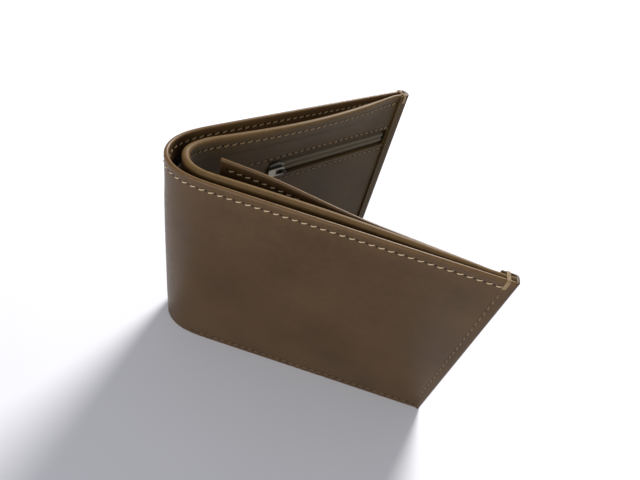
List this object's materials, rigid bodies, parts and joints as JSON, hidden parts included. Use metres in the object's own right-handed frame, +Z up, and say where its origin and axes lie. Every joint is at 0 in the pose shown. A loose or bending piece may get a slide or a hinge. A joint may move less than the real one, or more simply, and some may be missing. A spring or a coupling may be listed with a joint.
{
  "type": "bifold wallet",
  "caption": "Leather bifold wallet standing half open, with a bill compartment, a zipped coin pocket and a hinged inner flap.",
  "frame": {"origin": "on the floor under the middle of the wallet's bounding box", "axes": "+Z up along the spine, +X from the spine towards the open ends, -Y on the front half's side"},
  "size_m": [0.1077, 0.116, 0.0883],
  "materials": {
    "leather": "smooth satin brown leather",
    "inner_leather": "smooth matt brown leather",
    "lining": "plain woven lining",
    "thread": "twisted beige thread",
    "zip_tape": "woven tape",
    "zip_coil": "satin nylon",
    "zip_metal": "dull antique metal",
    "window_film": "clear film"
  },
  "bodies": {
    "back_half": {"shell_back": "leather", "lining_back": "lining", "divider_back": "lining", "edge_strip_back": "leather", "panel_back": "inner_leather", "coin_pouch_back_sheet": "lining", "zip_tape_upper": "zip_tape", "zip_tape_lower": "zip_tape", "zip_coil_upper": "zip_coil", "zip_coil_lower": "zip_coil", "thread_shell_back": "thread", "thread_panel_back": "thread", "thread_side_back": "thread", "thread_bottom_back": "thread", "thread_zip_upper": "thread", "thread_zip_lower": "thread", "bartack_back": "thread"},
    "spine_back": {"shell_spine_back": "leather", "lining_spine_back": "lining", "divider_spine_back": "lining", "panel_spine_back": "inner_leather", "thread_shell_spine_back": "thread", "thread_panel_spine_back": "thread"},
    "spine_front": {"shell_spine_front": "leather", "lining_spine_front": "lining", "divider_spine_front": "lining", "panel_spine_front": "inner_leather", "thread_shell_spine_front": "thread", "thread_panel_spine_front": "thread"},
    "front_half": {"shell_front": "leather", "lining_front": "lining", "divider_front": "lining", "edge_strip_front": "leather", "panel_front": "inner_leather", "card_pocket_1": "inner_leather", "card_pocket_2": "inner_leather", "card_pocket_3": "inner_leather", "thread_shell_front": "thread", "thread_panel_front": "thread", "thread_side_front": "thread", "thread_bottom_front": "thread", "bartack_front": "thread"},
    "flap": {"flap_front_leaf": "leather", "flap_back_leaf": "inner_leather", "flap_window": "window_film", "thread_flap": "thread", "thread_flap_end": "thread"},
    "slider": {"zip_slider": "zip_metal"},
    "pull": {"zip_pull": "zip_metal"}
  },
  "joints": [
    {"name": "fold_middle", "type": "hinge", "parent": "spine_back", "child": "spine_front", "pos_m": [-0.05012, 0, 0.044], "axis": [0, 0, -1], "range_deg": [-18.6, 52.4]},
    {"name": "fold_back", "type": "hinge", "parent": "back_half", "child": "spine_back", "pos_m": [-0.04514, 0.0089, 0.044], "axis": [0, 0, -1], "range_deg": [-13.95, 39.3]},
    {"name": "fold_front", "type": "hinge", "parent": "spine_front", "child": "front_half", "pos_m": [-0.04514, -0.0089, 0.044], "axis": [0, 0, -1], "range_deg": [-13.95, 39.3]},
    {"name": "flap_lift", "type": "hinge", "parent": "front_half", "child": "flap", "pos_m": [0.04482, -0.0491, 0.044], "axis": [0, 0, -1], "range_deg": [-1.49, 4.19]},
    {"name": "zip_slide", "type": "slide", "parent": "back_half", "child": "slider", "axis": [0.8925, 0.4511, 0], "range_m": [0, 0.055]},
    {"name": "pull_swing", "type": "hinge", "parent": "slider", "child": "pull", "pos_m": [-0.00694, 0.02308, 0.064], "axis": [0, 0, 1], "range_deg": [0, 170]}
  ],
  "couplings": [
    {"joint": "fold_back", "follows": "fold_middle", "ratio": 0.75},
    {"joint": "fold_front", "follows": "fold_middle", "ratio": 0.75},
    {"joint": "flap_lift", "follows": "fold_middle", "ratio": 0.08}
  ]
}
